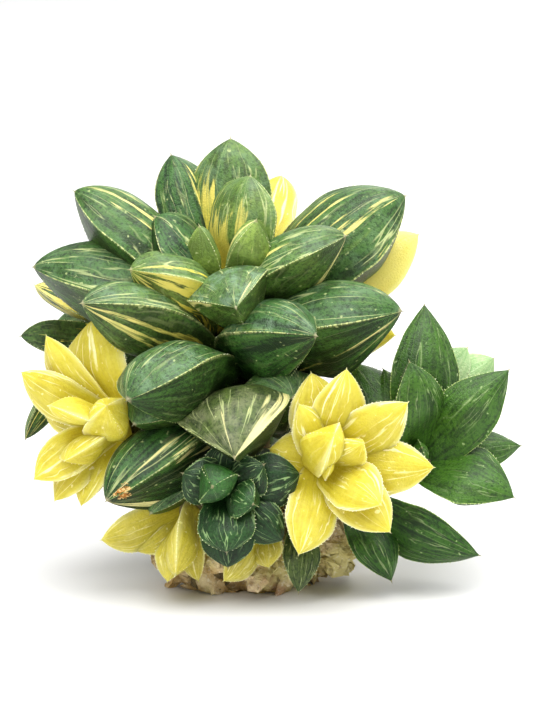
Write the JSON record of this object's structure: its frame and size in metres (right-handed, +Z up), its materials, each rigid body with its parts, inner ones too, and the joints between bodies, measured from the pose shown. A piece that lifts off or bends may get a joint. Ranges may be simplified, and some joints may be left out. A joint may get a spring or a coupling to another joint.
{
  "type": "haworthia succulent clump",
  "caption": "Bare-rooted clump of a variegated haworthia: one large green and cream window-leaved rosette above smaller green and yellow rosettes on a knobbly stem base.",
  "frame": {"origin": "middle of the flat underside of the stem base, on the surface that the clump rests on", "axes": "+X to the right as seen from the front, along the longest extent; -Y towards the front, from which the large rosette's face is seen; +Z up"},
  "size_m": [0.1112, 0.0724, 0.0975],
  "materials": {
    "variegated_leaf": "smooth fleshy leaf with a soft sheen, green streaked with cream",
    "green_leaf": "smooth fleshy leaf with a soft sheen, dark green",
    "pale_leaf": "smooth fleshy leaf, pale green",
    "yellow_leaf": "smooth translucent fleshy leaf, lemon yellow",
    "bark": "dry, rough and papery"
  },
  "bodies": {
    "root": {"main_leaf_bottom_back": "variegated_leaf", "main_leaf_bottom_left": "variegated_leaf", "main_leaf_centre_left": "variegated_leaf", "main_leaf_centre_low": "variegated_leaf", "main_leaf_centre_right": "variegated_leaf", "main_leaf_centre_top": "variegated_leaf", "main_leaf_far_left": "variegated_leaf", "main_leaf_far_right": "variegated_leaf", "main_leaf_heart_left": "variegated_leaf", "main_leaf_heart_right": "variegated_leaf", "main_leaf_high_left": "variegated_leaf", "main_leaf_high_right": "variegated_leaf", "main_leaf_low_front": "variegated_leaf", "main_leaf_low_left": "variegated_leaf", "main_leaf_low_right": "variegated_leaf", "main_leaf_mid_left": "variegated_leaf", "main_leaf_rear_bottom": "variegated_leaf", "main_leaf_rear_bottom_left": "variegated_leaf", "main_leaf_rear_bottom_right": "variegated_leaf", "main_leaf_rear_far_left": "variegated_leaf", "main_leaf_rear_far_right": "variegated_leaf", "main_leaf_rear_left": "variegated_leaf", "main_leaf_rear_low_left": "variegated_leaf", "main_leaf_rear_low_right": "variegated_leaf", "main_leaf_rear_middle": "variegated_leaf", "main_leaf_rear_right": "variegated_leaf", "main_leaf_shaded_left": "variegated_leaf", "main_leaf_shaded_low": "variegated_leaf", "main_leaf_shaded_right": "variegated_leaf", "main_leaf_top": "variegated_leaf", "main_leaf_top_left": "variegated_leaf", "main_leaf_upper_left": "variegated_leaf", "main_leaf_yellow_high": "yellow_leaf", "main_leaf_yellow_low": "yellow_leaf", "main_leaf_yellow_right": "yellow_leaf", "main_stem": "bark", "rosette_left_yellow": "yellow_leaf", "rosette_lower_front_green": "green_leaf", "rosette_lower_front_yellow": "yellow_leaf", "rosette_lower_left_yellow": "yellow_leaf", "rosette_lower_right_green": "green_leaf", "rosette_rear_green": "green_leaf", "rosette_rear_left_green": "green_leaf", "rosette_rear_low_yellow": "yellow_leaf", "rosette_right_green": "green_leaf", "rosette_right_pale": "pale_leaf", "rosette_right_yellow": "yellow_leaf", "rosette_small_green": "green_leaf", "stem_base": "bark"}
  },
  "joints": []
}
